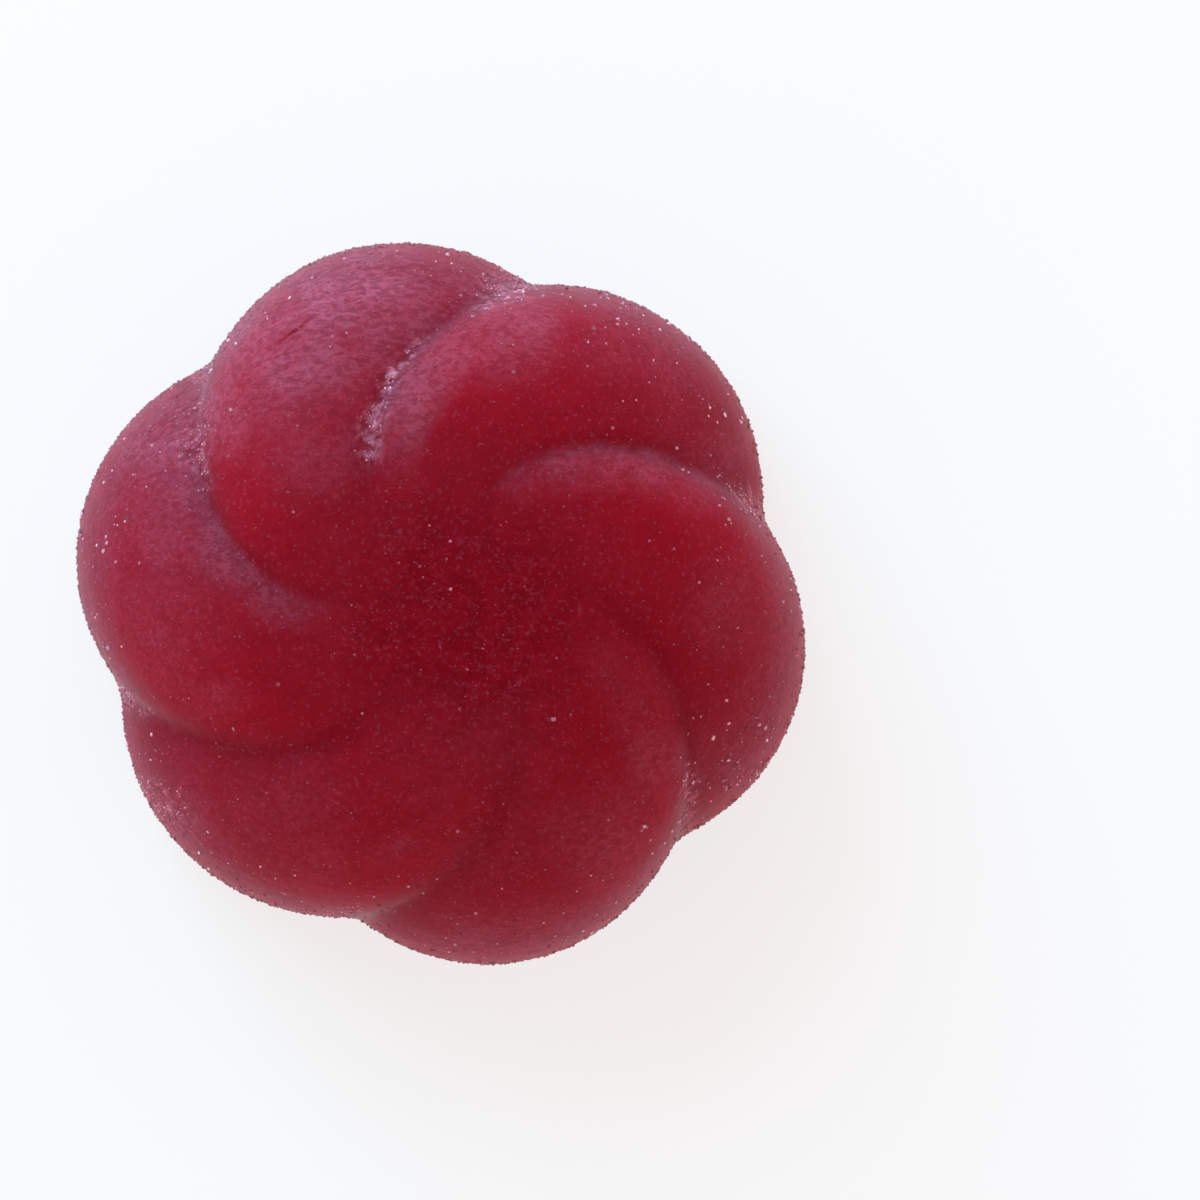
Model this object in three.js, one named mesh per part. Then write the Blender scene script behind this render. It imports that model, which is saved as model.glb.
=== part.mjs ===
// A swirled jelly sweet: one solid dome of firm fruit jelly on a flat base.
// Six rounded lobes stand round its edge. The grooves between them start as notches in the outline,
// climb the side and wind anticlockwise to the middle of the top, where they fade out.
//
// The form is a turban. Every level is a six-lobed outline, made smaller and turned a little further the
// higher it lies. So the skin starts as a plain turned dome, and each of its points is then moved out to
// that outline, round by the swirl, and down where it lies on the fine cut along a groove.
//
// Millimetres, +Z up, +X right and +Y away as the sweet is seen from above. The origin is the middle of
// the flat base.

import * as THREE from "three";

// Driving dimensions

const HEIGHT = 9.2; // flat base to the top of the dome
const DOME_POWER = 3.8; // 2 is an ellipse, and more is flatter on top and steeper at the edge
const LOBES = 6;
const LOBE_REACH = 11.12; // middle to the outermost point of a lobe
const NOTCH_REACH = 10.0; // middle to the corner of the notch between two lobes
const FIRST_NOTCH = 14.5; // bearing of the first notch, in degrees from +X

const SWEEP = 63; // degrees that a groove winds round on its way to the middle
const SWEEP_POWER = 1.45; // over 1 winds slowly near the middle and faster near the edge
const GROOVE_GAIN = -0.2; // how much a groove deepens towards the middle, as a share of its notch
const GROOVE_FADE = [1.0, 4.2]; // radii between which the grooves rise out of the flat middle
const CREASE = 0.3; // radius of the rounding at the bottom of a groove, at the edge
const CREASE_SPREAD = 1.2; // how much wider that rounding gets towards the middle, as a share of it

const CUT_DEPTH = 0.24; // a finer cut along the bottom of each groove
const CUT_WIDTH = 0.5; // the distance at which that cut has lost most of its depth
const CUT_START = [0.03, 0.25]; // shares of the way in from the edge between which the cut begins

// The grooves on one side of the sweet are deeper, and those across from it are shallow.
const DEEP_SIDE = 95; // bearing of that side, in degrees from +X
const GAIN_BIAS = 1.2; // added to GROOVE_GAIN on that side, and taken from it across from there
const CUT_BIAS = 0.6; // share by which the cut is deeper on that side, and shallower across from there

const EDGE_HEIGHT = 1.0; // the widest level, above the base
const EDGE_TUCK = 0.75; // how far the rounded lower edge draws in to the base

// The real sweet is a little out of round: [waves round the outline, size in mm, phase in degrees].
const OUT_OF_ROUND = [
  [2, 0.124, 62],
  [3, 0.056, -155],
  [4, 0.044, 7],
];
const TOP_LEAN = new THREE.Vector2(-0.15, 0.3); // where the swirl's middle lies, off the outline's middle

// How finely the skin is divided

const COLUMNS_PER_LOBE = 16;
const DOME_RINGS = 29;
const EDGE_RINGS = 4;

const JELLY = { color: 0x8c1428, roughness: 0.55, metalness: 0 };

const radians = THREE.MathUtils.degToRad;
const HALF_LOBE = Math.PI / LOBES;

// A lobe is an arc of a circle that touches LOBE_REACH and ends in a notch at NOTCH_REACH on each side.
const LOBE_CENTRE =
  (LOBE_REACH ** 2 - NOTCH_REACH ** 2) / (2 * (LOBE_REACH - NOTCH_REACH * Math.cos(HALF_LOBE)));
const LOBE_RADIUS = LOBE_REACH - LOBE_CENTRE;

// Reach of the six-lobed outline at an angle from the nearest notch.
function lobedReach(fromNotch) {
  const fromCrest = HALF_LOBE - fromNotch;
  const across = LOBE_CENTRE * Math.sin(fromCrest);
  return LOBE_CENTRE * Math.cos(fromCrest) + Math.sqrt(LOBE_RADIUS ** 2 - across ** 2);
}

// The angle from the nearest notch line, with the bottom of the groove rounded.
function angleFromNotch(turn, share, inwards) {
  const lobe = THREE.MathUtils.euclideanModulo(turn, 2 * HALF_LOBE);
  const nearest = Math.min(lobe, 2 * HALF_LOBE - lobe);
  const crease = (CREASE * (1 + CREASE_SPREAD * inwards)) / (share * LOBE_REACH);
  return Math.min(Math.hypot(nearest, crease), HALF_LOBE);
}

function outOfRound(bearing) {
  return OUT_OF_ROUND.reduce(
    (sum, [waves, size, phase]) => sum + size * Math.cos(waves * bearing + radians(phase)),
    0,
  );
}

// The turned profile, from the middle of the base to the top: x is the share of the full reach, 0 to 1,
// and y is the height.
function domeProfile() {
  const points = [new THREE.Vector2(0, 0)];
  for (let i = 0; i < EDGE_RINGS; i++) {
    const rise = (i / EDGE_RINGS) * (Math.PI / 2);
    const tuck = (EDGE_TUCK / LOBE_REACH) * (1 - Math.sin(rise));
    points.push(new THREE.Vector2(1 - tuck, EDGE_HEIGHT * (1 - Math.cos(rise))));
  }
  for (let i = DOME_RINGS; i > 0; i--) {
    const share = Math.sin((i / DOME_RINGS) * (Math.PI / 2));
    points.push(new THREE.Vector2(share, domeHeight(share)));
  }
  points.push(new THREE.Vector2(0, HEIGHT));
  return points;
}

function domeHeight(share) {
  return EDGE_HEIGHT + (HEIGHT - EDGE_HEIGHT) * Math.sqrt(Math.max(0, 1 - share ** DOME_POWER));
}

// Moves a point of the turned dome out to the lobes, round by the swirl and down into the grooves.
// The turn is counted in radians from the first notch.
function swirledPoint(turn, share, height) {
  const onDome = height >= EDGE_HEIGHT;
  const inwards = onDome ? 1 - share : 0;
  const sweep = onDome ? radians(SWEEP) * (1 - share ** SWEEP_POWER) : 0;
  const fromNotch = angleFromNotch(turn, share, inwards);
  const fade = onDome ? THREE.MathUtils.smoothstep(share * LOBE_REACH, ...GROOVE_FADE) : 1;
  const side = Math.cos(turn + radians(FIRST_NOTCH - DEEP_SIDE));
  const gain = 1 + inwards * (GROOVE_GAIN + GAIN_BIAS * side);
  const dip = (LOBE_REACH - lobedReach(fromNotch)) * gain * fade;
  const bearing = turn + radians(FIRST_NOTCH) + sweep;
  const reach = share * (LOBE_REACH - dip + outOfRound(bearing));
  const cutShape = Math.exp((-fromNotch * share * LOBE_REACH) / CUT_WIDTH);
  const cutFade = fade * THREE.MathUtils.smoothstep(inwards, ...CUT_START);
  const cut = CUT_DEPTH * (1 + CUT_BIAS * side) * cutShape * cutFade;
  return new THREE.Vector3(
    reach * Math.cos(bearing) + TOP_LEAN.x * inwards,
    reach * Math.sin(bearing) + TOP_LEAN.y * inwards,
    height - cut,
  );
}

function swirledDome() {
  const profile = domeProfile();
  const columns = LOBES * COLUMNS_PER_LOBE;
  const skin = new THREE.LatheGeometry(profile, columns);
  const place = skin.getAttribute("position");
  for (let i = 0; i < place.count; i++) {
    const { x: share, y: height } = profile[i % profile.length];
    const column = Math.floor(i / profile.length) % columns;
    const turn = (column / columns) * 2 * Math.PI;
    place.setXYZ(i, ...swirledPoint(turn, share, height));
  }
  skin.computeBoundingBox();
  const middle = skin.boundingBox.getCenter(new THREE.Vector3());
  skin.translate(-middle.x, -middle.y, 0);
  skin.computeVertexNormals();
  return skin;
}

const sweet = new THREE.Group();
const jelly = new THREE.Mesh(swirledDome(), new THREE.MeshStandardMaterial(JELLY));
jelly.name = "jelly";
sweet.add(jelly);

export default sweet;
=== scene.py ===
# %% [markdown]
# # A swirled jelly sweet, built in Blender
# The sweet is a chewable supplement: one lump of firm fruit jelly, cast in a mould and dusted with fine
# sugar. It is a low dome with rounded lobes round its edge, and a groove winds in from between each two.
# This lesson makes its skin, its sugar and its finish, one step at a time.
#
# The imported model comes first. It is a plain version of the same sweet at its real size, and everything
# made here has to lie where it lies, so its box is measured before anything else is made.

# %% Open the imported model
import math

import bpy
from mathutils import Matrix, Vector


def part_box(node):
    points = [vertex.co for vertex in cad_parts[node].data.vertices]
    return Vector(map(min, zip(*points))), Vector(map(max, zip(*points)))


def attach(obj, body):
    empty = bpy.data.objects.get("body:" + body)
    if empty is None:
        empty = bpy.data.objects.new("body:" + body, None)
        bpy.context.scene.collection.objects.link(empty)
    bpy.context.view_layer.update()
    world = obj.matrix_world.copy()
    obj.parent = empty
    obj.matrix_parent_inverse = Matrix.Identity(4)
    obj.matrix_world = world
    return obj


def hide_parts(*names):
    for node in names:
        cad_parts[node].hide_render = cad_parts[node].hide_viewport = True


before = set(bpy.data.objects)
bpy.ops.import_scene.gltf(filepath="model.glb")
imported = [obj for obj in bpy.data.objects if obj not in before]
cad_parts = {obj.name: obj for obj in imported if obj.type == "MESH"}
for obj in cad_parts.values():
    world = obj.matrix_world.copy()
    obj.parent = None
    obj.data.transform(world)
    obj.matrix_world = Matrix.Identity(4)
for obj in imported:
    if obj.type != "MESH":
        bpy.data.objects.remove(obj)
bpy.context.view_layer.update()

MM = 0.001

jelly_low, jelly_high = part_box("jelly")
print("the packed sweet measures, in mm:", [round(side / MM, 2) for side in jelly_high - jelly_low])

# %% [markdown]
# ## Writing node trees as sums
# A node tree is a formula, but a formula is easier to read as a sum than as a heap of boxes. So one small
# class stands for a wire between two nodes. Adding two wires adds a Math node, or a Vector Math node where
# one of them carries a vector.


# %% A wire
class Wire:
    """A value on its way between two nodes. Sums on it add nodes to its tree."""

    def __init__(self, tree, socket):
        self.tree = tree
        self.socket = socket

    def __add__(self, other):
        return self.tree.sum("ADD", self, other)

    def __radd__(self, other):
        return self.tree.sum("ADD", other, self)

    def __sub__(self, other):
        return self.tree.sum("SUBTRACT", self, other)

    def __rsub__(self, other):
        return self.tree.sum("SUBTRACT", other, self)

    def __mul__(self, other):
        return self.tree.sum("MULTIPLY", self, other)

    def __rmul__(self, other):
        return self.tree.sum("MULTIPLY", other, self)

    def __truediv__(self, other):
        return self.tree.sum("DIVIDE", self, other)

    def __rtruediv__(self, other):
        return self.tree.sum("DIVIDE", other, self)

    def __pow__(self, other):
        return self.tree.sum("POWER", self, other)

    def __mod__(self, other):
        return self.tree.sum("FLOORED_MODULO", self, other)


print("a wire can be added, subtracted, multiplied, divided, raised to a power and wrapped round")

# %% [markdown]
# A second class holds the tree and adds any other node. It also has short names for what this sweet needs
# again and again: a smooth step, a cloudy noise, a distance, and a place as seen from above.


# %% A tree
class Tree:
    """A node tree that is being written."""

    def __init__(self, group):
        self.group = group

    def node(self, kind, settings=None, inputs=None, output=0):
        """Adds a node: its settings first, then a number or a wire for each of its sockets."""
        node = self.group.nodes.new(kind)
        for name, value in (settings or {}).items():
            setattr(node, name, value)
        for key, value in (inputs or {}).items():
            self.feed(self.pick(node.inputs, key), value)
        return Wire(self, self.pick(node.outputs, output))

    @staticmethod
    def pick(sockets, key):
        """Finds a socket by its name, or by its number among those in use."""
        used = [socket for socket in sockets if socket.enabled]
        if isinstance(key, int):
            return used[key]
        return next(socket for socket in used if socket.name == key)

    def feed(self, socket, value):
        """Links a wire to a socket, or sets the socket to a number, a vector or a colour."""
        if isinstance(value, Wire):
            self.group.links.new(value.socket, socket)
        elif socket.type == "VECTOR" and isinstance(value, (int, float)):
            socket.default_value = (value,) * 3
        elif socket.type == "RGBA" and len(value) == 3:
            socket.default_value = (*value, 1)
        else:
            socket.default_value = value

    def sum(self, operation, *terms):
        """One step of a sum, on numbers or on vectors."""
        carried = {term.socket.type for term in terms if isinstance(term, Wire)}
        kind = "ShaderNodeVectorMath" if carried & {"VECTOR", "RGBA"} else "ShaderNodeMath"
        return self.node(kind, {"operation": operation}, dict(enumerate(terms)))

    def math(self, operation, *terms):
        return self.node("ShaderNodeMath", {"operation": operation}, dict(enumerate(terms)))

    def vector(self, operation, *terms, output=0):
        return self.node("ShaderNodeVectorMath", {"operation": operation}, dict(enumerate(terms)), output)

    def part(self, vector, axis):
        """One of the three numbers of a vector."""
        return self.node("ShaderNodeSeparateXYZ", {}, {"Vector": vector}, axis)

    def flat(self, place):
        """A place as seen from above, with its height left out."""
        return self.vector("MULTIPLY", place, (1, 1, 0))

    def distance(self, one, other):
        return self.vector("DISTANCE", one, other, output="Value")

    def step(self, value, start, end):
        """Goes smoothly from 0 at start to 1 at end."""
        span = {"Value": value, "From Min": start, "From Max": end}
        return self.node("ShaderNodeMapRange", {"interpolation_type": "SMOOTHSTEP"}, span)

    def noise(self, place, size, detail=2.0, roughness=0.5):
        """Cloudy noise round 0, from about -0.5 to 0.5, with lumps of the given size in metres."""
        inputs = {"Vector": place, "Scale": 1 / size, "Detail": detail, "Roughness": roughness}
        return self.node("ShaderNodeTexNoise", {}, inputs, "Fac") - 0.5


print("a tree can be given any node, and steps, noises and distances by name")

# %% [markdown]
# ## Trees that make meshes
# A geometry tree gets its sizes through named inputs, so that each can be changed by itself later. It ends
# by making every copy real and giving it its finish. The result is then taken as a plain mesh.

# %% Start, end and run a geometry tree
SOCKET_KINDS = {int: "NodeSocketInt", float: "NodeSocketFloat", bpy.types.Material: "NodeSocketMaterial"}


def start_geometry(name, sizes):
    """A new geometry tree with the given named inputs, and the wires that come from them."""
    group = bpy.data.node_groups.new(name, "GeometryNodeTree")
    group.interface.new_socket("Geometry", in_out="INPUT", socket_type="NodeSocketGeometry")
    group.interface.new_socket("Geometry", in_out="OUTPUT", socket_type="NodeSocketGeometry")
    for label, value in sizes.items():
        group.interface.new_socket(label, in_out="INPUT", socket_type=SOCKET_KINDS[type(value)])
    tree = Tree(group)
    entry = group.nodes.new("NodeGroupInput")
    return tree, {socket.name: Wire(tree, socket) for socket in entry.outputs if socket.name}


def end_geometry(tree, shape, finish):
    """Ends a geometry tree: every copy made real, in its finish."""
    shape = tree.node("GeometryNodeRealizeInstances", {}, {"Geometry": shape})
    shape = tree.node("GeometryNodeSetMaterial", {}, {"Geometry": shape, "Material": finish})
    tree.feed(tree.group.nodes.new("NodeGroupOutput").inputs["Geometry"], shape)
    return tree


def grow(name, tree, sizes, mesh=None):
    """Runs a geometry tree on a mesh and returns what it makes as a plain object at the origin."""
    seed = bpy.data.objects.new(name + "_seed", mesh or bpy.data.meshes.new(name + "_seed"))
    bpy.context.collection.objects.link(seed)
    grower = seed.modifiers.new("Grow", "NODES")
    grower.node_group = tree.group
    for socket in tree.group.interface.items_tree:
        if socket.in_out == "INPUT" and socket.name in sizes:
            grower[socket.identifier] = sizes[socket.name]
    ready = bpy.context.evaluated_depsgraph_get()
    grown = bpy.data.meshes.new_from_object(
        seed.evaluated_get(ready), preserve_all_data_layers=True, depsgraph=ready
    )
    bpy.data.objects.remove(seed)
    grown.name = name
    piece = bpy.data.objects.new(name, grown)
    bpy.context.collection.objects.link(piece)
    triangles = sum(len(face.vertices) - 2 for face in grown.polygons)
    print(name, "has", triangles, "triangles")
    return piece


print("kinds of named input:", len(SOCKET_KINDS))

# %% [markdown]
# ## The camera
# The sweet is seen from straight above, and it lies left of the middle of the picture. So the camera
# looks straight down beside it, from far enough that the dome isn't stretched.

# %% Set up the camera
FRAME_WIDTH = 36.66 * MM
CAMERA_RISE = 400 * MM
SENSOR = 36
CLIP_START, CLIP_END = 0.01, 10
SWEET_TO_FRAME_MIDDLE = Vector((4.84, 0.11)) * MM

camera_data = bpy.data.cameras.new("camera")
camera_data.sensor_width = SENSOR
camera_data.lens = SENSOR * CAMERA_RISE / FRAME_WIDTH
camera_data.clip_start = CLIP_START
camera_data.clip_end = CLIP_END
camera = bpy.data.objects.new("camera", camera_data)
camera.location = (*SWEET_TO_FRAME_MIDDLE, CAMERA_RISE)
bpy.context.collection.objects.link(camera)
bpy.context.scene.camera = camera
print("lens", round(camera_data.lens), "mm")

# %% [markdown]
# ## The sizes of the sweet
# A mould maker would cut this form as a turban: take a round dome, give every level the same lobed
# outline, and turn each level a little further than the one below. These few sizes say all of it.

# %% Sizes
SWEET = {
    "Height": jelly_high.z,
    "Dome power": 3.8,
    "Lobes": 6.0,
    "Lobe reach": 11.12 * MM,
    "Notch reach": 10.0 * MM,
    "First notch": math.radians(14.5),
    "Sweep": math.radians(63),
    "Sweep power": 1.45,
    "Groove gain": -0.2,
    "Grooves fade from": 4.2 * MM,
    "Grooves fade to": 1.0 * MM,
    "Crease": 0.3 * MM,
    "Crease spread": 1.2,
    "Cut depth": 0.24 * MM,
    "Cut width": 0.5 * MM,
    "Cut begins": 0.03,
    "Cut is whole": 0.25,
    "Deep side": math.radians(95),
    "Gain bias": 1.2,
    "Cut bias": 0.6,
    "Edge height": 1.0 * MM,
    "Edge tuck": 0.75 * MM,
    "Lean X": -0.15 * MM,
    "Lean Y": 0.3 * MM,
    "Relief": 1.0,
}
OUT_OF_ROUND = [(2, 0.124 * MM, 62), (3, 0.056 * MM, -155), (4, 0.044 * MM, 7)]
print("sizes of the form:", len(SWEET))

# %% [markdown]
# ## The skin
# The skin starts as a cube with many small squares. Blown up to a ball, it has no pole where long thin
# triangles meet, which a turned dome has at its top. Each point of the ball is then sent to its place on
# the dome by its bearing and by its angle down from the top: the first part of that angle is the dome,
# the next the rounded lower edge, and the rest the flat base.

# %% From a cube to the bearings of a ball
SQUARES = 128
DOME_ENDS = math.radians(118)
EDGE_ENDS = math.radians(128)


def ball_angles(tree):
    """The bearing of each point of the cube, and its angle down from the top."""
    place = tree.node("GeometryNodeInputPosition")
    outward = tree.vector("NORMALIZE", tree.vector("TANGENT", place * (math.pi / 4)))
    x, y, z = (tree.part(outward, axis) for axis in "XYZ")
    return tree.math("ARCTAN2", y, x), tree.math("ARCCOSINE", z)


def share_and_height(tree, fall, size):
    """How far out a point lies, as a share of the full reach, and how high, from its angle down."""
    quarter = math.pi / 2
    dome = tree.math("MINIMUM", fall / DOME_ENDS, 1)
    dome_share = tree.math("SINE", dome * quarter)
    dome_rise = tree.math("SQRT", tree.math("MAXIMUM", 1 - dome_share ** size["Dome power"], 0))
    edge = tree.node("ShaderNodeClamp", {}, {"Value": (fall - DOME_ENDS) / (EDGE_ENDS - DOME_ENDS)})
    base = tree.math("MINIMUM", (math.pi - fall) / (math.pi - EDGE_ENDS), 1)
    tuck = size["Edge tuck"] / size["Lobe reach"] * (1 - tree.math("COSINE", edge * quarter))
    edge_rise = size["Edge height"] * (1 - tree.math("SINE", edge * quarter))
    share = dome_share * (1 - tuck) * base
    return share, edge_rise + (size["Height"] - size["Edge height"]) * dome_rise


print("squares along each side of the cube:", SQUARES)

# %% [markdown]
# The outline of a level is a ring of arcs that meet in notches. A point is moved out to that outline, and
# turned by the swirl, which is strongest at the top and nothing at the edge.

# %% The lobes and the swirl
def lobed_reach(tree, from_notch, size):
    """Reach of the outline at an angle from the nearest notch."""
    half_lobe = math.pi / size["Lobes"]
    reach = size["Lobe reach"]
    notch = size["Notch reach"]
    centre = (reach**2 - notch**2) / (2 * (reach - notch * tree.math("COSINE", half_lobe)))
    radius = reach - centre
    crest = half_lobe - from_notch
    across = centre * tree.math("SINE", crest)
    return centre * tree.math("COSINE", crest) + tree.math("SQRT", radius**2 - across**2)


def angle_from_notch(tree, turn, share, inwards, size):
    """The angle from the nearest notch line, over 0 anticlockwise of it, and that angle with the bottom
    of the groove rounded."""
    lobe_width = 2 * math.pi / size["Lobes"]
    nearest = (turn + lobe_width / 2) % lobe_width - lobe_width / 2
    crease = size["Crease"] * (1 + size["Crease spread"] * inwards) / (share * size["Lobe reach"])
    rounded = tree.math("SQRT", nearest**2 + crease**2)
    return nearest, tree.math("MINIMUM", rounded, lobe_width / 2)


print("the lobes stand", round((SWEET["Lobe reach"] - SWEET["Notch reach"]) / MM, 2), "mm past the notches")

# %% [markdown]
# Now all of it goes together. A point's bearing is counted from the first notch, and its groove is found
# before the swirl turns it, because each groove is straight until then. A finer cut runs along the bottom
# of each groove. The grooves at the top of the picture are deeper than those across from them.


# %% The place of each point
def out_of_round(tree, bearing):
    """How far the real sweet's outline stands out past an even one, or in from it."""
    total = 0
    for waves, wave_size, phase in OUT_OF_ROUND:
        total = total + wave_size * tree.math("COSINE", bearing * waves + math.radians(phase))
    return total


def swirled_place(tree, size):
    """The place of each point on the smooth form, and what later steps need to know about it: its share of
    the full reach, its height, how far it lies beside its groove, and how far across its lobe, up to 1 at
    the crest. The last two are over 0 anticlockwise of the groove."""
    turn, fall = ball_angles(tree)
    share, height = share_and_height(tree, fall, size)
    on_dome = tree.math("LESS_THAN", fall, DOME_ENDS)
    inwards = on_dome * (1 - share)
    sweep = on_dome * size["Sweep"] * (1 - share ** size["Sweep power"])
    nearest, rounded = angle_from_notch(tree, turn, share, inwards, size)
    fade = tree.step(share * size["Lobe reach"], size["Grooves fade to"], size["Grooves fade from"])
    side = tree.math("COSINE", turn + size["First notch"] - size["Deep side"])
    gain = 1 + inwards * (size["Groove gain"] + size["Gain bias"] * side)
    dip = (size["Lobe reach"] - lobed_reach(tree, rounded, size)) * gain * fade
    bearing = turn + size["First notch"] + sweep
    reach = share * (size["Lobe reach"] - dip + out_of_round(tree, bearing))
    cut_shape = tree.math("EXPONENT", 0 - rounded * share * size["Lobe reach"] / size["Cut width"])
    cut_fade = fade * tree.step(inwards, size["Cut begins"], size["Cut is whole"])
    height = height - size["Cut depth"] * (1 + size["Cut bias"] * side) * cut_shape * cut_fade
    x = reach * tree.math("COSINE", bearing) + size["Lean X"] * inwards
    y = reach * tree.math("SINE", bearing) + size["Lean Y"] * inwards
    place = tree.node("ShaderNodeCombineXYZ", {}, {"X": x, "Y": y, "Z": height})
    across = nearest / (math.pi / size["Lobes"])
    return place, share, height, nearest * reach, across


print("each groove winds round by", round(math.degrees(SWEET["Sweep"])), "degrees")

# %% [markdown]
# ## Where the sugar clings
# The dusting has rubbed off the round lobes and stays where nothing touches it: in the notches, thick in
# the deep groove at the top, and thinly in the one to its left. Those places are listed in mm as seen from
# above. Each has its middle and its size, how far it reaches to each side of the groove, and how thick the
# sugar is. They are written to the skin as a value of its own, so the relief, the finish and the grains all
# agree.

# %% Sugared places
SUGARED = {
    "groove 1, upper end": (-1.3, 7.6, 1.0, 0.6, 0.7),
    "groove 1, middle": (-1.75, 6.6, 1.3, 0.5, 1.0),
    "groove 1, lower end": (-1.7, 5.0, 1.3, 0.8, 0.9),
    "groove 6, upper end": (-7.3, 4.6, 1.7, 1.5, 0.35),
    "groove 6, right bank": (-6.5, 5.4, 1.6, 2.6, 0.25),
    "notch 1": (2.0, 9.2, 1.3, 2.0, 0.5),
    "notch 2": (9.4, 2.9, 1.3, 1.0, 0.5),
    "notch 3": (6.8, -5.9, 1.7, 1.0, 0.5),
    "notch 4": (-3.6, -8.9, 1.5, 2.5, 0.4),
    "notch 5": (-9.2, -2.3, 1.5, 0.7, 0.7),
    "notch 6": (-7.1, 7.0, 1.0, 1.2, 0.3),
    "lower left edge": (-8.7, -6.3, 1.4, 9.0, 0.45),
}
SPOT_CORE = 0.2  # share of a spot's size that is as full as its middle


def spot(tree, flat, x, y, size):
    """1 in the middle of a round spot of the given size in mm, and 0 outside it."""
    away = tree.distance(flat, (x * MM, y * MM, 0))
    return tree.step(away, size * MM, SPOT_CORE * size * MM)


def sugared_places(tree, flat, groove):
    """How thick the sugar is stuck: up to 1 in a sugared place, and 0 away from all of them."""
    total = 0
    for x, y, size, width, thickness in SUGARED.values():
        stuck = thickness * spot(tree, flat, x, y, size) * tree.step(groove, width * MM, 0)
        total = tree.math("MAXIMUM", stuck, total)
    return total


print("sugared places:", len(SUGARED))

# %% [markdown]
# ## Where the skin is frosted, and where frost paints sheen
# Over much of the sweet the finest sugar has dissolved and dried again as a thin frost of tiny fibres. It
# covers the steep edge all round. It is thick on the lobes at the upper left and along one side of most
# grooves, and thin on the lower lobes. Where it lies follows the sheen of the edge and of the slopes that
# face the panels, so it is partly real dust and partly painted sheen. The middle is bare and smooth. Each
# of these places has a middle, a size, the side of its groove that it keeps to, and how thick the frost is.
# In a few places at the edge the frost is taken off again, which paints shade there.

# %% Frosted places, with painted sheen and shade
BOTH_SIDES, ANTICLOCKWISE, CLOCKWISE = 0, 1, -1
# painted sheen: frost is put thickest on the edge and on slopes that face the panels, partly standing in
# for their sheen
FROST_AND_SHEEN_SPOTS = {
    "upper left lobe": (-4.6, 8.4, 4.4, BOTH_SIDES, 1.15),
    "upper left lobe, inner end": (-3.8, 5.0, 2.6, BOTH_SIDES, 0.5),
    "upper left lobe, right side": (-1.0, 9.0, 2.2, ANTICLOCKWISE, 0.8),
    "upper left lobe, along groove 1": (-1.7, 7.5, 1.7, ANTICLOCKWISE, 0.7),
    "upper left lobe, along groove 6": (-6.2, 6.0, 2.2, CLOCKWISE, 0.95),
    "left lobe": (-8.7, 2.8, 3.8, ANTICLOCKWISE, 0.5),
    "left lobe, upper edge": (-8.9, 5.7, 3.0, BOTH_SIDES, 1.3),
    "left lobe, lower part": (-8.2, -0.6, 2.8, BOTH_SIDES, 0.35),
    "groove 6, outer end": (-7.3, 3.8, 2.4, ANTICLOCKWISE, 0.75),
    "groove 6, middle": (-6.3, 1.8, 2.2, ANTICLOCKWISE, 1.0),
    "groove 6, inner end": (-4.6, 0.9, 2.2, ANTICLOCKWISE, 0.75),
    "groove 5": (-7.3, -2.0, 2.4, CLOCKWISE, 0.55),
    "lower left lobe": (-4.6, -7.0, 3.6, BOTH_SIDES, 0.3),
    "lower left edge": (-8.0, -6.9, 1.8, BOTH_SIDES, 0.9),
    "lower lobe": (1.2, -6.2, 4.6, BOTH_SIDES, 0.15),
    "lower lobe, right part": (5.0, -7.2, 2.8, BOTH_SIDES, 0.55),
    "groove 4": (-1.9, -6.6, 2.2, CLOCKWISE, 0.5),
    "groove 3, inner part": (5.2, -3.0, 2.4, CLOCKWISE, 0.25),
    "groove 3, outer part": (6.4, -5.0, 1.9, CLOCKWISE, 0.6),
    "right lobe": (9.0, -0.2, 2.4, BOTH_SIDES, 0.35),
    "groove 1": (-0.1, 6.5, 3.6, CLOCKWISE, 1.15),
    "upper right lobe, left end": (2.0, 8.5, 2.6, BOTH_SIDES, 1.0),
    "upper right lobe, outer part": (5.4, 8.3, 2.2, BOTH_SIDES, 0.35),
    "groove 2, inner end": (2.6, 3.9, 1.3, CLOCKWISE, 0.3),
    "groove 2, inner part": (3.7, 4.3, 1.5, CLOCKWISE, 0.55),
    "groove 2, middle": (5.0, 4.4, 1.6, CLOCKWISE, 0.65),
    "groove 2, outer part": (6.4, 4.2, 1.6, CLOCKWISE, 0.6),
    "groove 2, outer end": (7.7, 3.6, 1.5, CLOCKWISE, 0.5),
    "notch 1": (1.5, 9.3, 2.2, BOTH_SIDES, 0.9),
    "notch 3": (6.9, -5.4, 2.0, BOTH_SIDES, 0.3),
    "top edge": (-3.0, 10.2, 4.0, BOTH_SIDES, 1.7),
    "upper left edge": (-6.2, 9.0, 3.4, BOTH_SIDES, 1.6),
}
# painted shade: frost is taken off at these places, so that they look darker
BARE_AS_SHADE = {
    "below notch 5": (-8.3, -3.7, 2.2),
    "groove 5, lower bank": (-6.8, -4.1, 1.3),
    "below notch 4": (-1.0, -9.0, 1.9),
    "above notch 2": (9.4, 3.7, 1.5),
    "upper right edge": (8.6, 6.2, 2.4),
    "lower right edge": (7.6, -6.2, 1.8),
}
print("frosted places:", len(FROST_AND_SHEEN_SPOTS), "and the edge; bare ones:", len(BARE_AS_SHADE))

# %% [markdown]
# A place on one side of a groove begins at the groove and has to fade out before the crest of its lobe,
# or a hard border would show there. Frost is also thinner low on the side, where the sweet has lain
# against others. Wherever sugar is stuck there is frost between its lumps.

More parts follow.
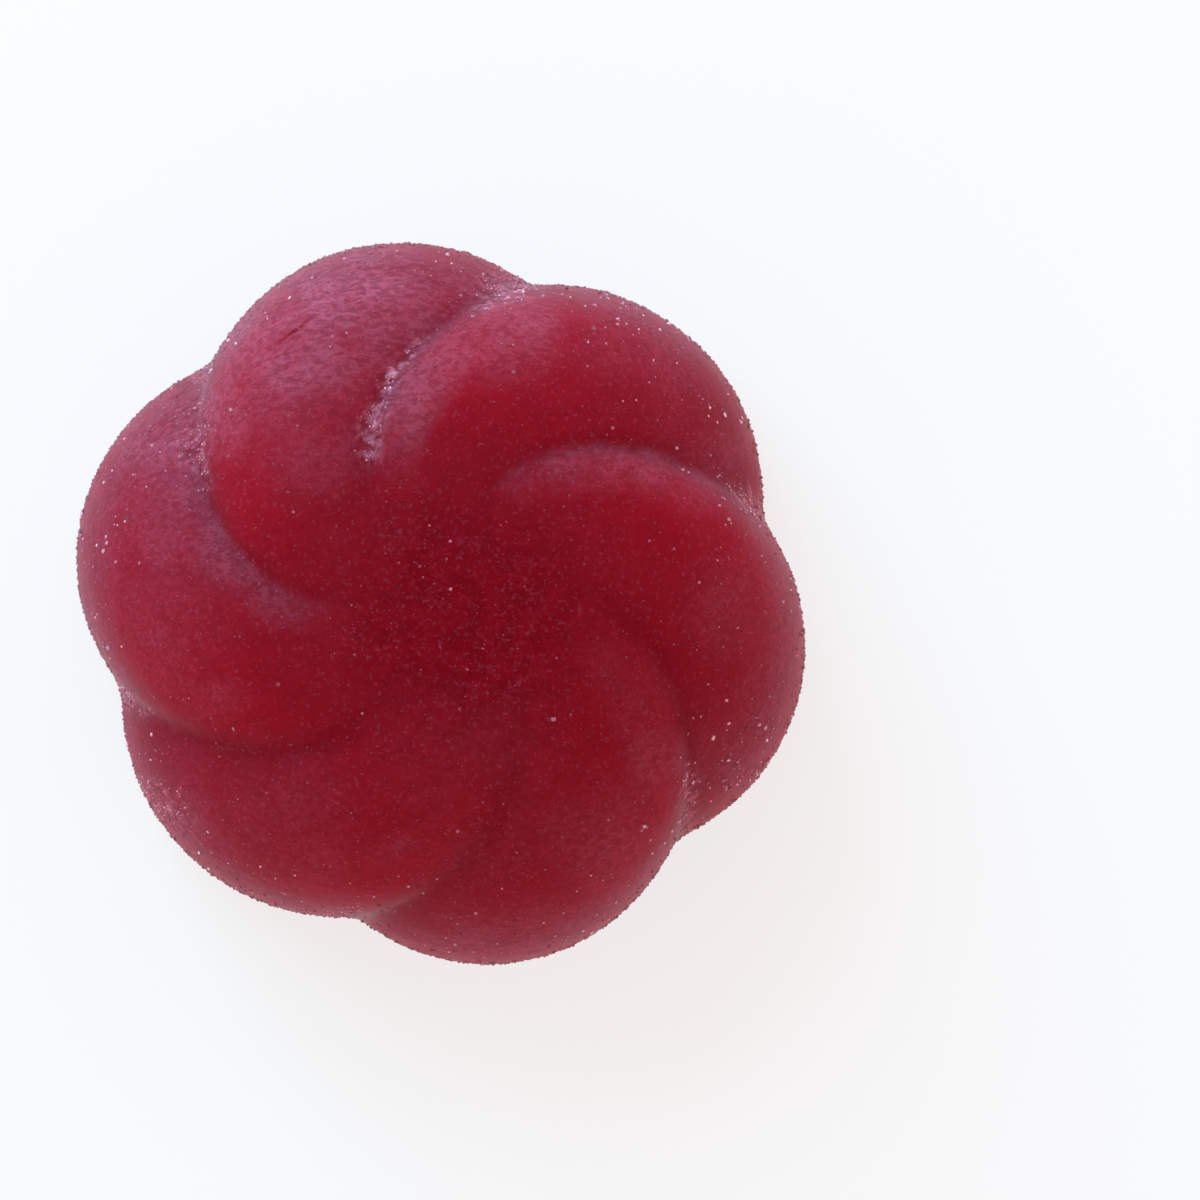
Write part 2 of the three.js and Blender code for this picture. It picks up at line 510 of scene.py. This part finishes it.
# %% How thick the frost is
EDGE_FROST_AND_SHEEN = 0.8
EDGE_BEGINS = (0.78, 1.0)  # as a share of the full reach
FROM_GROOVE = (-0.35 * MM, 0.15 * MM)
TO_CREST = (1.0, 0.55)  # 0 is the groove and 1 the crest
TAKEN_OFF_AS_SHADE = 0.8
FROST_BELOW = 0.45
UP_THE_SIDE = (1.0 * MM, 4.5 * MM)
FROST_ON_SUGAR = 0.8


def frost_and_sheen_places(tree, place, share, sugared, beside, across):
    """How much frost covers the skin, partly as painted sheen: 0 on bare jelly, and about 1 where it is
    thick.
    """
    flat = tree.flat(place)
    total = EDGE_FROST_AND_SHEEN * tree.step(share, *EDGE_BEGINS)
    for x, y, size, side, thickness in FROST_AND_SHEEN_SPOTS.values():
        frost = thickness * spot(tree, flat, x, y, size)
        if side != BOTH_SIDES:
            frost = frost * tree.step(beside * side, *FROM_GROOVE)
            frost = frost * tree.step(across * side, *TO_CREST)
        total = tree.math("MAXIMUM", frost, total)
    bare = 0
    for x, y, size in BARE_AS_SHADE.values():
        bare = tree.math("MAXIMUM", spot(tree, flat, x, y, size), bare)
    high = tree.step(tree.part(place, "Z"), *UP_THE_SIDE)
    total = total * (1 - TAKEN_OFF_AS_SHADE * bare) * (FROST_BELOW + (1 - FROST_BELOW) * high)
    return tree.math("MAXIMUM", FROST_ON_SUGAR * sugared, total)


print("frost low on the side, as a share of that on top:", FROST_BELOW)

# %% [markdown]
# Stuck sugar doesn't lie evenly either. It dries in small ragged lumps with bare pits between them, where
# water has gathered. A noise with many small details, cut off at a level, gives such ragged lumps.

# %% Lumps of stuck sugar
LUMP_NOISE = (0.32 * MM, 5, 0.75)  # size of the lumps, layers of finer detail, and their strength
LUMP_EDGE = (-0.04, 0.14)


def lumps(tree, place):
    """1 on a lump of stuck sugar, and 0 between them."""
    return tree.step(tree.noise(place, *LUMP_NOISE), *LUMP_EDGE)


print("a lump of stuck sugar is about", round(LUMP_NOISE[0] / MM, 2), "mm across")

# %% [markdown]
# ## Relief of the skin
# Jelly isn't smooth. It sinks a little as it dries, it keeps the grain of its mould, and it is pitted
# where sugar has drawn water out of it. This relief is added along the skin's own direction, and it fades
# out on the flat base. One lobe also has a short scratch, which is measured first.

# %% The scratch
SCRATCH = [Vector((-4.99, 7.68, 0)) * MM, Vector((-3.65, 8.72, 0)) * MM]


def scratch(tree, place, width):
    """1 along the scratch, and 0 from half its width away. It tapers to its ends."""
    start, end = SCRATCH
    along = (end - start).normalized()
    flat = tree.flat(place) - tuple(start)
    walked = tree.vector("DOT_PRODUCT", flat, tuple(along), output="Value")
    walked = tree.math("MAXIMUM", tree.math("MINIMUM", walked, (end - start).length), 0)
    nearest = tree.vector("SCALE", tuple(along), walked)
    taper = tree.math("SINE", walked * (math.pi / (end - start).length))
    return tree.step(tree.distance(flat, nearest), width / 2, 0) * taper


print("the scratch is", round((SCRATCH[1] - SCRATCH[0]).length / MM, 2), "mm long")

# %% [markdown]
# Each layer of the relief is a noise with a height and a size of its own. Its place is read before the
# skin moves, and what the skin knows about each point comes from its stored values.

# %% Relief
RELIEF = {
    "waves": (0.10 * MM, 4 * MM),
    "peel": (0.03 * MM, 0.8 * MM),
    "grain": (0.022 * MM, 0.22 * MM),
}
PIT_DEPTH = 0.08 * MM
PIT_NOISE = (0.5 * MM, 3)
CRUST_HEIGHT = 0.10 * MM
SCORED_DEPTH = 0.05 * MM
SCORED_WIDTH = 0.22 * MM
OFF_THE_BASE = (0.02 * MM, 0.5 * MM)


def read_value(tree, name):
    """A value that the skin keeps for each of its points."""
    kind = {"data_type": "FLOAT"}
    return tree.node("GeometryNodeInputNamedAttribute", kind, {"Name": name}, "Attribute")


def relief(tree):
    """How far the skin stands out."""
    place = tree.node("GeometryNodeInputPosition")
    total = 0
    for height, size in RELIEF.values():
        total = total + height * tree.noise(place, size)
    total = total + PIT_DEPTH * tree.noise(place, *PIT_NOISE) * read_value(tree, "sugared")
    total = total + CRUST_HEIGHT * read_value(tree, "crust")
    total = total - SCORED_DEPTH * scratch(tree, place, SCORED_WIDTH)
    return total * tree.step(read_value(tree, "rise"), *OFF_THE_BASE)


for name, (height, size) in RELIEF.items():
    print(name, "are", round(height / MM, 3), "mm high and", round(size / MM, 2), "mm wide")

# %% [markdown]
# ## Helpers for a finish
# What is the same all over goes straight to the shader's own sockets. What changes from point to point is
# looked up from the values that the skin keeps, and colours are mixed one after another.


# %% Start a finish, mix colours and look up a value
def start_finish(name, settings):
    """A new material, with the values that are the same all over set on its shader's own sockets."""
    material = bpy.data.materials.new(name)
    material.use_nodes = True
    shader = material.node_tree.nodes["Principled BSDF"]
    tree = Tree(material.node_tree)
    for socket_name, value in settings.items():
        tree.feed(shader.inputs[socket_name], value)
    return material, tree, shader


def mix_colours(tree, factor, first, second):
    """The first colour where the factor is 0, and the second where it is 1."""
    inputs = {"Factor": factor, "A": first, "B": second}
    return tree.node("ShaderNodeMix", {"data_type": "RGBA"}, inputs, "Result")


def look_up(tree, name):
    """The same as read_value, for a finish."""
    return tree.node("ShaderNodeAttribute", {"attribute_name": name}, {}, "Fac")


print("finishes are written as trees too")

# %% [markdown]
# ## The finish of the jelly
# Light sinks into jelly, wanders about and comes out elsewhere. Red light goes the farthest, so the red is
# nearly even all over, and green and blue hardly come back at all. A plain red surface would look like
# plastic, so the shader lets the light wander for real. The jelly has next to no gloss of its own.

# %% What light does in the jelly
JELLY = {
    "Subsurface Weight": 1.0,
    "Subsurface Radius": (1.0, 0.035, 0.04),
    "Subsurface Scale": 12 * MM,
    "IOR": 1.5,
    "Specular IOR Level": 0.025,
    "Sheen Weight": 0.025,
    "Sheen Roughness": 0.4,
    "Sheen Tint": (0.7, 0.55, 1.0),
    "Specular Tint": (0.85, 0.62, 1.0),
}
reach_of_light = [round(JELLY["Subsurface Scale"] * part / MM, 2) for part in JELLY["Subsurface Radius"]]
print("red, green and blue light go this far in jelly, in mm:", reach_of_light)

# %% [markdown]
# ### Painted glow and shade over the dome
# The colour is mixed from a few reds, by how far out and how high a point is, and it paints light and
# shade: the round lobes are painted as glowing, the thick middle is painted a darker red as shade, and the
# steep edge is painted darker and duller the lower it lies.

# %% Reds over the dome, with painted glow and shade
# painted glow and shade: these reds stand in for how light falls through the jelly
MIDDLE_SHADE = (0.237, 0.0032, 0.0085)
INNER_GLOW = (0.260, 0.0056, 0.0125)
OUTER_SHADE = (0.172, 0.0044, 0.0125)
RIM_SHADE = (0.132, 0.0044, 0.0125)
UNDER_RIM_SHADE = (0.100, 0.0036, 0.0105)
SHADED_MIDDLE_PLACE = (1.0 * MM, -0.4 * MM, 0)
SHADED_MIDDLE_BORDER = (4.6 * MM, 1.4 * MM)
OUTER_BORDER = (0.5, 0.95)  # this and the next two are shares of the full reach
RIM_BORDER = (0.86, 1.0)
UNDER_RIM_BORDER = (0.98, 1.0)
LOW_ON_SIDE = (1.3 * MM, 0.7 * MM)


def shaded_middle_of_dome(tree, place):
    """1 in the thick middle of the sweet, where a darker red is painted as shade, and 0 out on the lobes.
    """
    return tree.step(tree.distance(tree.flat(place), SHADED_MIDDLE_PLACE), *SHADED_MIDDLE_BORDER)


# painted glow and shade: lobes painted glowing, the middle darker, the steep edge darker and duller lower
# down
def dome_glow_and_shade(tree, middle):
    share = look_up(tree, "share")
    steepness = tree.math("MAXIMUM", share, tree.step(look_up(tree, "rise"), *LOW_ON_SIDE))
    colour = mix_colours(tree, tree.step(share, *OUTER_BORDER), INNER_GLOW, OUTER_SHADE)
    colour = mix_colours(tree, tree.step(steepness, *RIM_BORDER), colour, RIM_SHADE)
    colour = mix_colours(tree, tree.step(steepness, *UNDER_RIM_BORDER), colour, UNDER_RIM_SHADE)
    return mix_colours(tree, middle, colour, MIDDLE_SHADE)


print("the middle is dark over", round(2 * SHADED_MIDDLE_BORDER[0] / MM, 1), "mm")

# %% [markdown]
# ### Marks in the jelly, and painted shade
# Boiled fruit is never quite clear. Darker clouds hang in the jelly, and fine pale threads and specks lie
# just under its skin, in patches. The bottom of a groove and the scratch are painted dark as well: that is
# painted shade, for the light that gets lost in them.

# %% Clouds, threads, specks and painted shade
DEEP_CLOUD_AND_SHADE = (0.13, 0.0010, 0.0035)
PALE_RED = (0.30, 0.018, 0.036)
CLOUD_NOISE = (0.6 * MM, 3)
CLOUD_BORDER = (0.12, -0.12)
THREAD_NOISE = (0.4 * MM, 3, 0.6)
THREAD_STRETCH = (0.35, 1, 1)
THREAD_WIDTH = 0.03
THREAD_PATCHES = (1.1 * MM, 2)
THREAD_PATCH_BORDER = (0.0, 0.2)
SPECK_NOISE = (0.14 * MM, 2)
SPECK_BORDER = (0.04, 0.2)
SCRATCH_WIDTH = 0.18 * MM


def threads_in_jelly(tree, place):
    """1 on a pale thread, and 0 beside it."""
    stretched = tree.vector("MULTIPLY", place, THREAD_STRETCH)
    thread = tree.step(tree.math("ABSOLUTE", tree.noise(stretched, *THREAD_NOISE)), THREAD_WIDTH, 0)
    return thread * tree.step(tree.noise(place, *THREAD_PATCHES), *THREAD_PATCH_BORDER)


def dark_marks_and_painted_shade(tree, place, middle, groove, scored):
    """How dark the clouds are, with the painted shade of the grooves and the scratch."""
    clouds = tree.step(tree.noise(place, *CLOUD_NOISE), *CLOUD_BORDER)
    # painted shade: the grooves and the scratch are darkened in the colour
    clouds_and_painted_shade = (0.12 + 0.18 * middle) * clouds + 0.25 * groove
    return tree.math("MAXIMUM", clouds_and_painted_shade, 0.8 * scored)


def pale_marks(tree, place, middle, frost_and_sheen):
    """How pale the specks and threads are. They show best in the middle and under frost."""
    marked = tree.math("MAXIMUM", frost_and_sheen, middle)
    specks = tree.step(tree.noise(place, *SPECK_NOISE), *SPECK_BORDER) * (0.12 + 0.18 * marked)
    return specks + threads_in_jelly(tree, place) * (0.2 + 0.3 * marked)


print("the threads are up to", round(THREAD_NOISE[0] / THREAD_STRETCH[0] / MM, 1), "mm long")

# %% [markdown]
# ### Frost
# Frost is a dry white dust that lies on the jelly, so it shows where the light comes from, while the jelly
# under it blurs that. One shader can't do both. The frost gets a second, dry shader, and a Mix Shader lays
# it over the first: thickest where the skin is frosted, in patches, and more on a fibre than beside it.

# %% How much of the jelly the frost hides
FROST = {"Roughness": 0.7, "IOR": 1.5, "Specular IOR Level": 0.2}
DUST = (0.70, 0.43, 0.66)
SYRUPY = (0.95, 0.40, 0.46)
FROST_COVER = 0.09
FIBRE_NOISE = (0.18 * MM, 2, 0.75)
FIBRE_STRETCH = (0.6, 1, 1)
FIBRE_BORDER = (-0.11, 0.11)
PATCH_NOISE = (1.5 * MM, 3)
PATCH_BORDER = (-0.25, 0.3)
FLECK_NOISE = (0.13 * MM, 2, 0.6)
FLECK_BORDER = (0.06, 0.22)
FLECK_COVER = 0.035
CRUST_COVER = 0.24


def fibres_of_frost(tree, place):
    """1 on a fibre of frost, and 0 between the fibres."""
    along = tree.vector("MULTIPLY", place, FIBRE_STRETCH)
    return tree.step(tree.noise(along, *FIBRE_NOISE), *FIBRE_BORDER)


def frost_patches(tree, place):
    """About 1, more in a thick patch of frost and less in a thin one."""
    return 0.6 + 0.8 * tree.step(tree.noise(place, *PATCH_NOISE), *PATCH_BORDER)


def frost_cover(tree, place, fibres, patches, scored):
    """The share of the jelly that is hidden by frost, by loose flecks of it and by crust."""
    on_fibres = 0.34 + 0.36 * fibres
    cover = FROST_COVER * on_fibres * patches * look_up(tree, "frost_and_sheen") * (1 - scored)
    flecks = tree.step(tree.noise(place, *FLECK_NOISE), *FLECK_BORDER)
    return cover + FLECK_COVER * flecks + CRUST_COVER * look_up(tree, "crust")


print("thick frost hides up to", round(100 * FROST_COVER), "% of the jelly")

# %% [markdown]
# ### Fine tooth
# The fibres stand up from the skin, far too small for its mesh. A bump gives the frost's shader that tooth.
# Most of it is on frosted skin.

# %% Bump of the fibres
TOOTH_HEIGHT = 0.03 * MM
FINE_TOOTH = (0.08 * MM, 1)
COARSE_TOOTH = (0.17 * MM, 0)
STREAKS = (0.11 * MM, 0)
STREAK_STRETCH = (0.4, 1, 1)


def tooth_bump(tree, place):
    streaks = tree.noise(tree.vector("MULTIPLY", place, STREAK_STRETCH), *STREAKS)
    tooth = tree.noise(place, *FINE_TOOTH) + 0.6 * tree.noise(place, *COARSE_TOOTH) + 0.5 * streaks
    tooth = tooth * (0.7 + look_up(tree, "frost_and_sheen"))
    bump = {"Height": tooth + look_up(tree, "crust"), "Distance": TOOTH_HEIGHT, "Strength": 1.0}
    return tree.node("ShaderNodeBump", {}, bump, "Normal")


print("the tooth is", round(TOOTH_HEIGHT / MM, 2), "mm high")

# %% [markdown]
# ### Put the finish together
# The colour goes from the dome's reds, with their painted glow and shade, through the dark marks with the
# painted shade of the grooves and the scratch, and the pale marks, to the crust. A groove is wetter than
# the rest, so it is smoother. Then frost is mixed over the jelly, tinted by syrup where it is crusted.

# %% The finish of the jelly
CRUST = (0.55, 0.11, 0.15)
IN_GROOVE = (0.8 * MM, 0.1 * MM)
GROOVES_SHOW = (0.25, 0.6)


def jelly_colour(tree, place, groove, fibres, scored):
    frost_and_sheen = look_up(tree, "frost_and_sheen")
    middle = shaded_middle_of_dome(tree, place)
    colour = dome_glow_and_shade(tree, middle)
    # the clouds and the painted shade of the grooves and the scratch are mixed in here
    colour = mix_colours(tree, dark_marks_and_painted_shade(tree, place, middle, groove, scored), colour, DEEP_CLOUD_AND_SHADE)
    colour = mix_colours(tree, pale_marks(tree, place, middle, frost_and_sheen), colour, PALE_RED)
    colour = colour * (1 + 0.15 * (fibres - 0.5) * (0.3 + frost_and_sheen))
    return mix_colours(tree, 0.8 * look_up(tree, "crust"), colour, CRUST)


def jelly_finish():
    material, tree, shader = start_finish("jelly", JELLY)
    place = tree.node("ShaderNodeTexCoord", {}, {}, "Object")
    show = tree.step(look_up(tree, "share"), *GROOVES_SHOW)
    groove = tree.step(look_up(tree, "groove"), *IN_GROOVE) * show
    scored = scratch(tree, place, SCRATCH_WIDTH)
    fibres = fibres_of_frost(tree, place)
    patches = frost_patches(tree, place)
    bump = tooth_bump(tree, place)
    tree.feed(shader.inputs["Base Color"], jelly_colour(tree, place, groove, fibres, scored))
    tree.feed(shader.inputs["Roughness"], 0.31 + 0.1 * patches - 0.12 * groove)
    tint = mix_colours(tree, look_up(tree, "crust"), DUST, SYRUPY)
    frost = tree.node("ShaderNodeBsdfPrincipled", {}, {**FROST, "Base Color": tint, "Normal": bump})
    # the frost cover partly paints sheen on the slopes that face the panels
    cover = frost_cover(tree, place, fibres, patches, scored)
    jelly = Wire(tree, shader.outputs[0])
    mixed = tree.node("ShaderNodeMixShader", {}, {0: cover, 1: jelly, 2: frost})
    tree.feed(material.node_tree.nodes["Material Output"].inputs["Surface"], mixed)
    return material


jelly_material = jelly_finish()
print("the finish of the jelly has", len(jelly_material.node_tree.nodes), "nodes")

# %% [markdown]
# ## Make the skin
# The tree writes down what it knows about each point before it moves the points, because the relief, the
# finish and the sugar need it later. Afterwards the skin is set in place, so that the middle of its outline
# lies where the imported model's does.


# %% The skin
def skin_tree():
    tree, size = start_geometry("Swirled skin", {**SWEET, "Finish": jelly_material})
    counts = dict.fromkeys(("Vertices X", "Vertices Y", "Vertices Z"), SQUARES + 1)
    shape = tree.node("GeometryNodeMeshCube", {}, {"Size": 2, **counts}, "Mesh")
    place, share, height, beside, across = swirled_place(tree, size)
    groove = tree.math("ABSOLUTE", beside)
    sugared = sugared_places(tree, tree.flat(place), groove)
    known = {
        "share": share,
        "rise": height,
        "groove": groove,
        "sugared": sugared,
        "frost_and_sheen": frost_and_sheen_places(tree, place, share, sugared, beside, across),
        "crust": lumps(tree, place) * sugared,
    }
    for name, value in known.items():
        store = {"Geometry": shape, "Name": name, "Value": value}
        shape = tree.node("GeometryNodeStoreNamedAttribute", {"data_type": "FLOAT"}, store)
    shape = tree.node("GeometryNodeSetPosition", {}, {"Geometry": shape, "Position": place})
    push = tree.node("GeometryNodeInputNormal") * relief(tree) * size["Relief"]
    shape = tree.node("GeometryNodeSetPosition", {}, {"Geometry": shape, "Offset": push})
    shape = tree.node("GeometryNodeSetShadeSmooth", {}, {"Geometry": shape})
    return end_geometry(tree, shape, size["Finish"])


skin = grow("jelly_skin", skin_tree(), {**SWEET, "Finish": jelly_material})
xs = [vertex.co.x for vertex in skin.data.vertices]
ys = [vertex.co.y for vertex in skin.data.vertices]
middle = Vector(((min(xs) + max(xs)) / 2, (min(ys) + max(ys)) / 2, 0))
print("the skin's middle before it is set in place, in mm:", [round(c / MM, 3) for c in middle])
for vertex in skin.data.vertices:
    vertex.co -= middle
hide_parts("jelly")
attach(skin, "root")

# %% [markdown]
# ## The sugar
# Three kinds of grain lie on the sweet. Most are a fine frost, half dissolved and stained red. A few whole
# crystals are bigger and paler, and glint. The rest are crumbs, stuck together in thin veins at the sugared
# places. All share one finish, which gets paler with a value that each grain carries. By the edge that
# paleness is partly a painted glint.

# %% The finish of the sugar
SUGAR = {"Roughness": 0.55, "IOR": 1.54, "Specular IOR Level": 0.2}
STAINED = (0.22, 0.035, 0.06)
PALE_AND_GLINT = (0.92, 0.50, 0.57)


def sugar_finish():
    material, tree, shader = start_finish("sugar", SUGAR)
    colour = mix_colours(tree, look_up(tree, "pale_and_glint"), STAINED, PALE_AND_GLINT)
    tree.feed(shader.inputs["Base Color"], colour)
    return material


sugar_material = sugar_finish()
print("the finish of the sugar has", len(sugar_material.node_tree.nodes), "nodes")

# %% [markdown]
# ### A tree that scatters grains
# Each kind is scattered over the skin by a tree of its own, and its grains sit half sunk in the skin. They
# are turned and stretched by chance, and small ones are far more common than large ones. A fixed seed
# makes every run the same.

# %% Scatter grains on the skin
GRAINS_BEGIN = (0.05 * MM, 0.3 * MM)  # height above the base
STRETCH = (0.6, 1.2)
MOSTLY_SMALL = 3
SWELL_BORDER = (0.85, 0.98)
DRY_AND_GLINT_BORDER = (0.6, 0.95)
LEAST_PALE = 0.15


def random_vector(tree, low, high, seed):
    inputs = {"Min": (low,) * 3, "Max": (high,) * 3, "Seed": seed}
    return tree.node("FunctionNodeRandomValue", {"data_type": "FLOAT_VECTOR"}, inputs, "Value")


def random_number(tree, seed):
    return tree.node("FunctionNodeRandomValue", {"data_type": "FLOAT"}, {"Seed": seed}, "Value")


def paleness_and_glint(tree):
    """Grains on the flat middle have drawn in red juice. Those in the crust are dry, and those by the edge
    are paler, partly as dry sugar and partly as a painted glint.
    """
    # painted glint: grains by the edge are made paler, standing in for their glint
    edge = tree.step(read_value(tree, "share"), *DRY_AND_GLINT_BORDER)
    return LEAST_PALE + (1 - LEAST_PALE) * tree.math("MAXIMUM", edge, read_value(tree, "sugared"))


def grain_size(tree, size):
    """The size of a grain, and how much it swells by the edge."""
    chance = random_number(tree, size["Seed"] + 3) ** MOSTLY_SMALL
    swell = size["Smallest"] + (size["Largest"] - size["Smallest"]) * chance
    edge = tree.step(read_value(tree, "share"), *SWELL_BORDER)
    return swell * (1 + size["Swell at the edge"] * edge)


def grain_tree(name, sizes, crowding, shape):
    """Scatters grains over the skin it is given, as thickly as crowding says."""
    tree, size = start_geometry(name, sizes)
    above_base = tree.step(read_value(tree, "rise"), *GRAINS_BEGIN)
    density = size["Grains per square mm"] / MM**2 * crowding(tree) * above_base
    spots = {"Mesh": size["Geometry"], "Density": density, "Seed": size["Seed"]}
    spots = tree.node("GeometryNodeDistributePointsOnFaces", {}, spots, "Points")
    grain = tree.node(*shape, "Mesh")
    turn = random_vector(tree, 0, 2 * math.pi, size["Seed"] + 1)
    stretch = random_vector(tree, *STRETCH, size["Seed"] + 2)
    scale = stretch * grain_size(tree, size)
    inputs = {"Points": spots, "Instance": grain, "Rotation": turn, "Scale": scale}
    shape = tree.node("GeometryNodeInstanceOnPoints", {}, inputs)
    pale_and_glint = size["Palest"] * random_number(tree, size["Seed"] + 4) * paleness_and_glint(tree)
    store = {"Geometry": shape, "Name": "pale_and_glint", "Value": pale_and_glint}
    settings = {"data_type": "FLOAT", "domain": "INSTANCE"}
    shape = tree.node("GeometryNodeStoreNamedAttribute", settings, store)
    return end_geometry(tree, shape, size["Finish"])


print("half of all grains are in the smallest", round(100 * 0.5**MOSTLY_SMALL), "% of the sizes")

# %% [markdown]
# ### How thickly each kind lies
# Fine frost lies wherever the skin is frosted, and thickest round the foot of the side. Crumbs lie only in
# the lumps of the sugared places. Whole crystals lie mostly by the edge, with a few on top. Where the sweet
# was handled least, more crystals are left in a cluster.

# %% Where each kind lies
CLUSTERS = {
    "right edge": (9.5, -4.3, 2.0, 1.0),
    "left edge": (-10.3, 2.0, 1.8, 0.45),
    "upper right edge": (4.9, 8.6, 1.5, 0.6),
    "notch 3": (6.3, -6.6, 0.9, 1.0),
    "notch 2": (9.0, 2.5, 1.3, 0.6),
    "notch 1": (2.2, 9.6, 1.4, 0.5),
}
FOOT_OUTWARDS = (0.95, 1.0)
FOOT_DOWNWARDS = (3 * MM, 1.5 * MM)
CRYSTALS_OUTWARDS = (0.6, 1.0)
CLUSTER_CROWDING = 3.5


def frost_crowding(tree):
    foot = tree.step(read_value(tree, "share"), *FOOT_OUTWARDS)
    foot = foot * tree.step(read_value(tree, "rise"), *FOOT_DOWNWARDS)
    return 0.25 + 0.5 * read_value(tree, "frost_and_sheen") + read_value(tree, "sugared") + 3.0 * foot


def crystal_crowding(tree):
    flat = tree.flat(tree.node("GeometryNodeInputPosition"))
    edge = tree.step(read_value(tree, "share"), *CRYSTALS_OUTWARDS)
    total = 0.12 + 0.6 * edge + 0.8 * read_value(tree, "sugared")
    for x, y, size, crowding in CLUSTERS.values():
        total = total + CLUSTER_CROWDING * crowding * spot(tree, flat, x, y, size)
    return total


def crumb_crowding(tree):
    return lumps(tree, tree.node("GeometryNodeInputPosition")) * read_value(tree, "sugared")


print("clusters of crystals:", len(CLUSTERS))

# %% [markdown]
# ### Scatter the three kinds
# A grain of frost or a crumb is a pebble with 20 faces, and a crystal is a block. More faces on each would
# make the mesh heavy, and nobody could tell at this size.

# %% Frost, crystals and crumbs
PEBBLE = ("GeometryNodeMeshIcoSphere", {}, {"Radius": 0.5, "Subdivisions": 1})
BLOCK = ("GeometryNodeMeshCube", {}, {"Size": 0.8})


def scatter(name, crowding, shape, per_square_mm, smallest, largest, edge_swell, palest, seed):
    sizes = {
        "Grains per square mm": per_square_mm,
        "Smallest": smallest * MM,
        "Largest": largest * MM,
        "Swell at the edge": edge_swell,
        "Palest": palest,
        "Seed": seed,
        "Finish": sugar_material,
    }
    piece = grow(name, grain_tree(name, sizes, crowding, shape), sizes, skin.data)
    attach(piece, "root")


FINE = {"shape": PEBBLE, "smallest": 0.03, "largest": 0.08}
COARSE = {"shape": BLOCK, "smallest": 0.06, "largest": 0.14}
scatter("sugar_frost", frost_crowding, **FINE, per_square_mm=8.0, edge_swell=0.7, palest=0.25, seed=3)
scatter("sugar_crystals", crystal_crowding, **COARSE, per_square_mm=1.2, edge_swell=0.0, palest=1.0, seed=5)
scatter("sugar_crumbs", crumb_crowding, **FINE, per_square_mm=400.0, edge_swell=0.0, palest=1.0, seed=8)

# %% [markdown]
# ## The floor
# The sweet lies on a plain pale floor, far wider than any view of it. The floor glows a little, so that it
# looks nearly white and its shadow stays soft, as on a lit table.

# %% The floor
FLOOR_REACH = 3.0
FLOOR = {
    "Base Color": (0.25, 0.205, 0.195),
    "Roughness": 0.9,
    "Specular IOR Level": 0.0,
    "Emission Color": (1, 1, 1),
    "Emission Strength": 0.75,
}
corners = [(x * FLOOR_REACH, y * FLOOR_REACH, 0) for x, y in ((-1, -1), (1, -1), (1, 1), (-1, 1))]
floor_mesh = bpy.data.meshes.new("floor")
floor_mesh.from_pydata(corners, [], [(0, 1, 2, 3)])
floor_mesh.materials.append(start_finish("floor", FLOOR)[0])
floor = bpy.data.objects.new("floor", floor_mesh)
bpy.context.collection.objects.link(floor)
print("the floor is", 2 * FLOOR_REACH, "m wide")

# %% [markdown]
# ## The lights
# Two soft panels stand low beyond the sweet, to the upper left of the picture. They are cool, because the
# frost that faces them looks lilac. The red of the jelly comes from the warm room around it.

# %% Two soft panels
PANELS = {
    "key": {"azimuth": 35, "power": 3.2, "colour": (0.18, 0.74, 1.0)},
    "top": {"azimuth": 5, "power": 0.5, "colour": (0.60, 0.74, 1.0)},
}
PANEL_ELEVATION = 27
PANEL_DISTANCE = 0.45
PANEL_WIDTH = 0.34


def panel(name, azimuth, power, colour):
    """A soft light panel that looks at the sweet. Azimuth 0 stands beyond it, at the picture's top."""
    light = bpy.data.lights.new(name, "AREA")
    light.shape = "SQUARE"
    light.size = PANEL_WIDTH
    light.energy = power
    light.color = colour
    lamp = bpy.data.objects.new(name, light)
    a = math.radians(azimuth)
    e = math.radians(PANEL_ELEVATION)
    towards = Vector((-math.sin(a) * math.cos(e), math.cos(a) * math.cos(e), math.sin(e)))
    lamp.location = towards * PANEL_DISTANCE
    lamp.rotation_euler = (-lamp.location).to_track_quat("-Z", "Y").to_euler()
    lamp.visible_camera = False
    bpy.context.collection.objects.link(lamp)


for name, settings in PANELS.items():
    panel(name, **settings)
    print("panel", name, "at azimuth", settings["azimuth"])

# %% [markdown]
# ## The room
# The room is a bright ring of soft light at the height of the horizon, and dim overhead. So the steep sides
# of the lobes are lit, and their flat tops stay a deep red. It is a little dimmer and warmer on the side
# away from the panels.

# %% The room
RING_BORDER = (0.15, 0.60)
RING_LIGHT = 3.3
OVERHEAD_LIGHT = 0.25
TOWARDS_PANELS = (-0.57, 0.82, 0)
BEHIND_BORDER = (0.5, -0.4)
DIMMER_BEHIND = 0.2
ROOM = (1.0, 0.92, 0.92)
ROOM_BEHIND = (1.0, 0.88, 0.88)

world = bpy.data.worlds.new("world")
bpy.context.scene.world = world
world.use_nodes = True
world_tree = Tree(world.node_tree)
direction = world_tree.node("ShaderNodeTexCoord", {}, {}, "Generated")
ring = 1 - world_tree.step(world_tree.part(direction, "Z"), *RING_BORDER)
towards = world_tree.vector("DOT_PRODUCT", direction, TOWARDS_PANELS, output="Value")
behind = world_tree.step(towards, *BEHIND_BORDER)
background = world.node_tree.nodes["Background"]
world_tree.feed(background.inputs["Color"], mix_colours(world_tree, behind, ROOM, ROOM_BEHIND))
strength = RING_LIGHT * ring * (1 - DIMMER_BEHIND * behind) + OVERHEAD_LIGHT
world_tree.feed(background.inputs["Strength"], strength)
bpy.context.scene.view_settings.view_transform = "Standard"
print("the ring is", round(RING_LIGHT / OVERHEAD_LIGHT + 1, 1), "times as bright as overhead")
